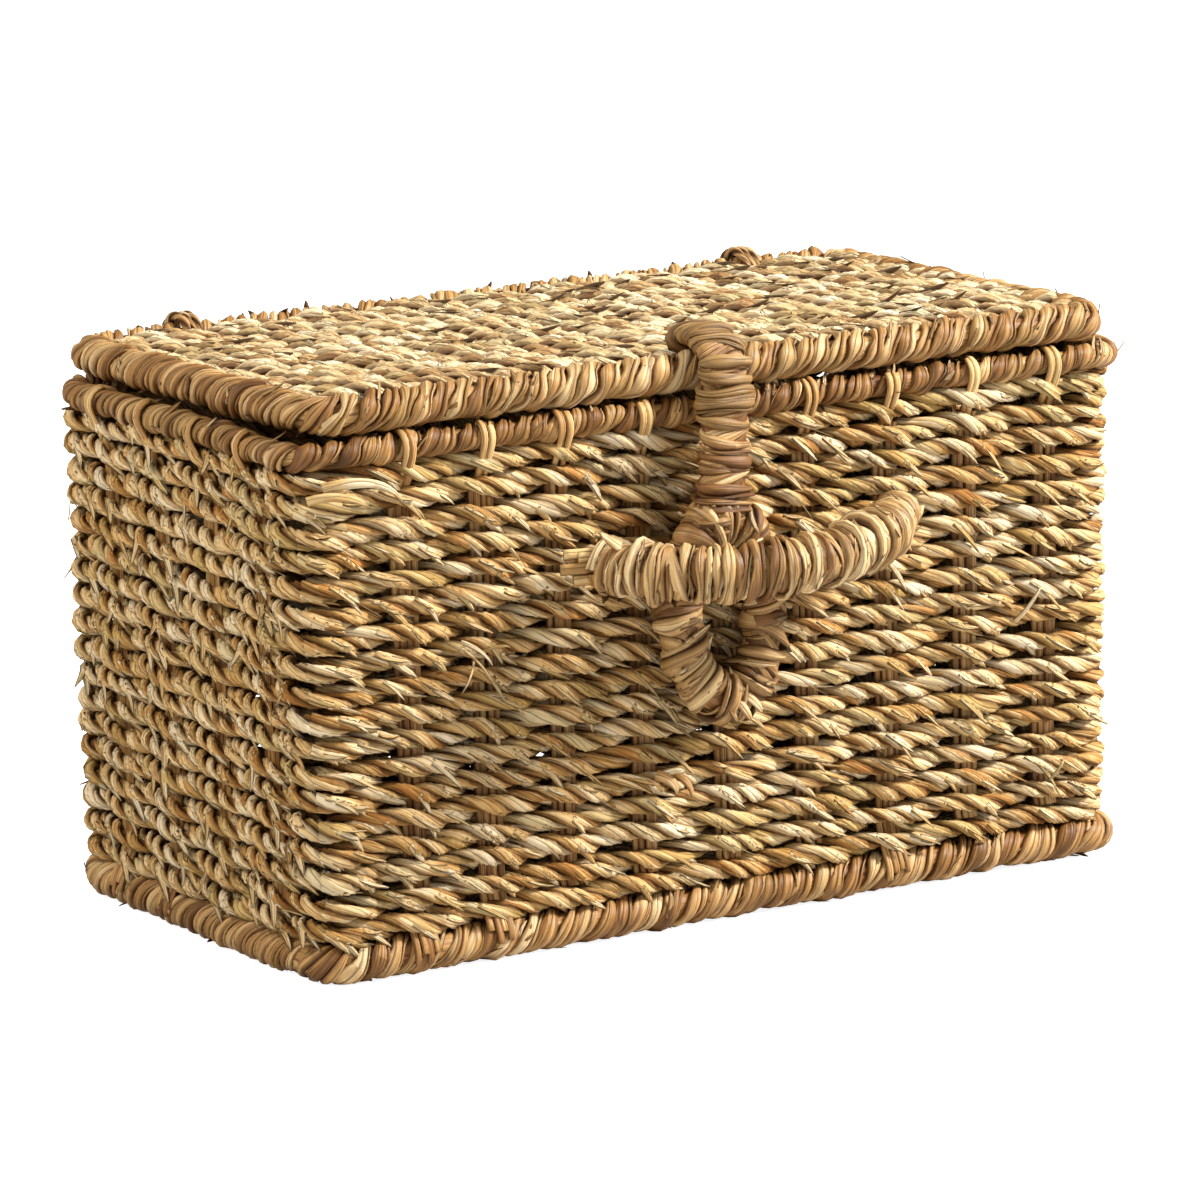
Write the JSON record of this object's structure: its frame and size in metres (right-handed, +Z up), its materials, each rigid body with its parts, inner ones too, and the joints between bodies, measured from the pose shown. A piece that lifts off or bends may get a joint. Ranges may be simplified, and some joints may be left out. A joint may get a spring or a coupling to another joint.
{
  "type": "woven lidded box",
  "caption": "Rectangular seagrass box woven on stakes, with wrapped rims, a tied hinged lid, a rope clasp loop and a bow handle that holds the loop shut.",
  "frame": {"origin": "on the ground under the middle of the woven base, at the rest face", "axes": "+X along the length to the right seen from the front, -Y to the front where the handle is, +Z up"},
  "size_m": [0.36, 0.2547, 0.226],
  "materials": {
    "seagrass_cord": "dry twisted seagrass cord, straw with green and brown streaks",
    "leaf_wrap": "flat seagrass leaf strips, golden brown, slightly waxy",
    "reed": "brown reed, matt"
  },
  "bodies": {
    "case": {"base_rim": "leaf_wrap", "base_panel": "seagrass_cord", "top_rim": "leaf_wrap", "front_wall": "seagrass_cord", "right_wall": "seagrass_cord", "back_wall": "seagrass_cord", "left_wall": "seagrass_cord", "front_stake_1": "reed", "front_stake_2": "reed", "front_stake_3": "reed", "front_stake_4": "reed", "front_stake_5": "reed", "front_stake_6": "reed", "front_stake_7": "reed", "front_stake_8": "reed", "front_stake_9": "reed", "right_stake_1": "reed", "right_stake_2": "reed", "right_stake_3": "reed", "right_stake_4": "reed", "back_stake_1": "reed", "back_stake_2": "reed", "back_stake_3": "reed", "back_stake_4": "reed", "back_stake_5": "reed", "back_stake_6": "reed", "back_stake_7": "reed", "back_stake_8": "reed", "back_stake_9": "reed", "left_stake_1": "reed", "left_stake_2": "reed", "left_stake_3": "reed", "left_stake_4": "reed", "corner_stake_front_left": "reed", "corner_stake_front_right": "reed", "corner_stake_back_left": "reed", "corner_stake_back_right": "reed", "handle_core": "reed", "handle_wrap": "leaf_wrap", "hinge_tie_left": "seagrass_cord", "hinge_tie_right": "seagrass_cord"},
    "lid": {"lid_border": "leaf_wrap", "lid_panel": "seagrass_cord", "lid_rib_1": "reed", "lid_rib_2": "reed", "lid_rib_3": "reed", "lid_rib_4": "reed", "lid_rib_5": "reed", "lid_rib_6": "reed", "lid_rib_7": "reed", "lid_rib_8": "reed", "lid_rib_9": "reed", "clasp_root": "reed", "clasp_root_wrap": "leaf_wrap"},
    "clasp": {"clasp_core": "reed", "clasp_stem_wrap": "leaf_wrap", "clasp_ring_wrap": "leaf_wrap"}
  },
  "joints": [
    {"name": "lid_hinge", "type": "hinge", "parent": "case", "child": "lid", "pos_m": [0, 0.0895, 0.2081], "axis": [-1, 0, 0], "range_deg": [0, 110]},
    {"name": "clasp_bend", "type": "hinge", "parent": "lid", "child": "clasp", "pos_m": [-0.006, -0.0895, 0.2081], "axis": [-1, 0, 0], "range_deg": [-58.3, 0]}
  ],
  "couplings": [
    {"joint": "clasp_bend", "follows": "lid_hinge", "ratio": -0.53}
  ]
}
